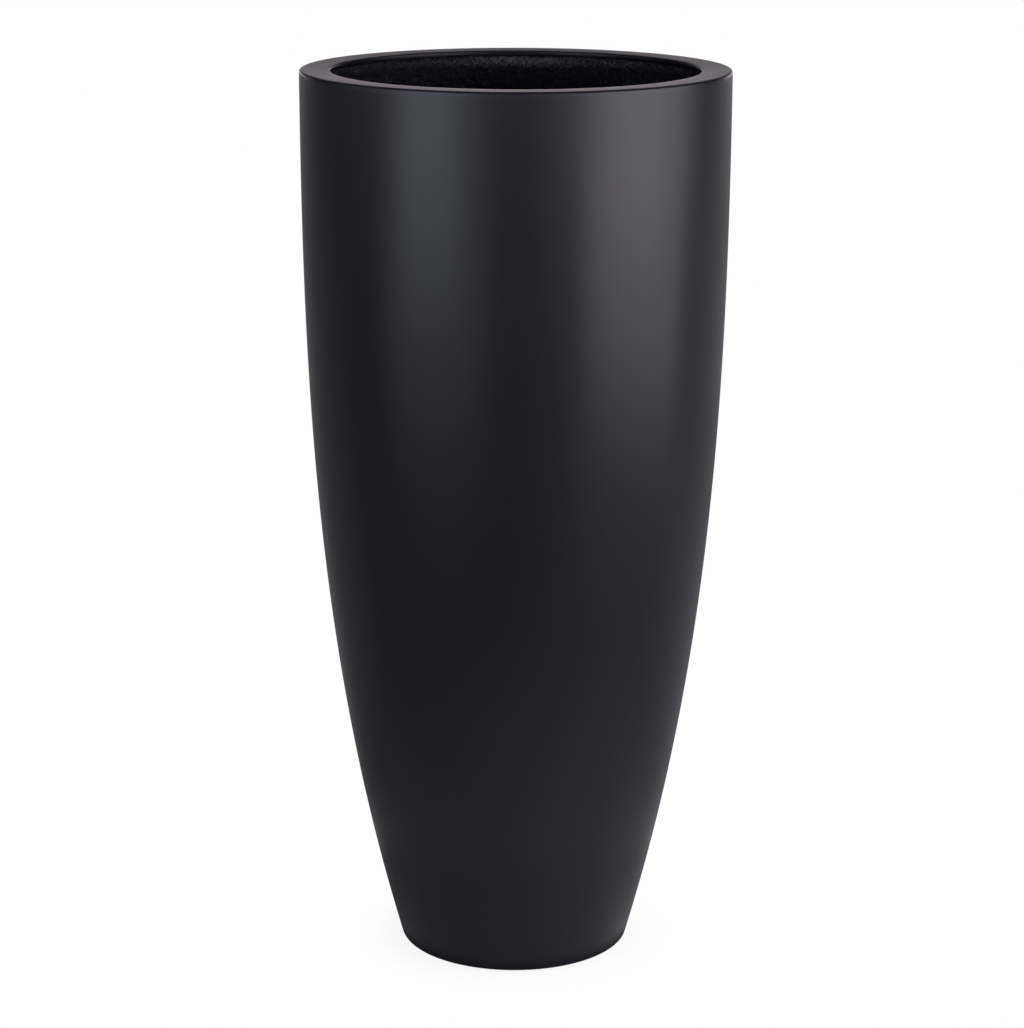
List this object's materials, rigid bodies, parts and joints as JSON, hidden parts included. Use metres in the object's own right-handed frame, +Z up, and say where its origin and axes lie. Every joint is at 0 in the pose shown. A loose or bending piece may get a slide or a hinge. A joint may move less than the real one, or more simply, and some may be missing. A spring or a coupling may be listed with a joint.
{
  "type": "tall round planter",
  "caption": "Tall round planter that tapers in a curve from a wide mouth with a flat inward lip to a narrow foot, with a drain hole closed by a lift-out plug.",
  "frame": {"origin": "on the floor, under the centre of the foot, on the planter's own axis", "axes": "+Z up along the axis of revolution; the planter is round, so X and Y only fix where the four pads stand, half way between the axes"},
  "size_m": [0.422, 0.422, 0.9],
  "materials": {
    "matt_paint": "sprayed matt black two-part paint on smooth gelcoat, faint orange peel, soft broad sheen",
    "raw_laminate": "black pigmented polyester resin over chopped strand glass mat, rough, fibres standing proud, half gloss",
    "resin_putty": "grey filled resin putty, trowelled, dull",
    "soft_rubber": "moulded black rubber, dull with a fine grain"
  },
  "bodies": {
    "planter": {"shell": "matt_paint", "lip_ring": "matt_paint", "lip_tape": "raw_laminate", "foot_putty_ring": "resin_putty", "base_plate": "raw_laminate", "base_tape": "raw_laminate", "foot_pad_1": "soft_rubber", "foot_pad_2": "soft_rubber", "foot_pad_3": "soft_rubber", "foot_pad_4": "soft_rubber"},
    "plug": {"drain_plug": "soft_rubber"}
  },
  "joints": [
    {"name": "drain_plug_lift", "type": "slide", "parent": "planter", "child": "plug", "axis": [0, 0, 1], "range_m": [0, 0.93]}
  ]
}
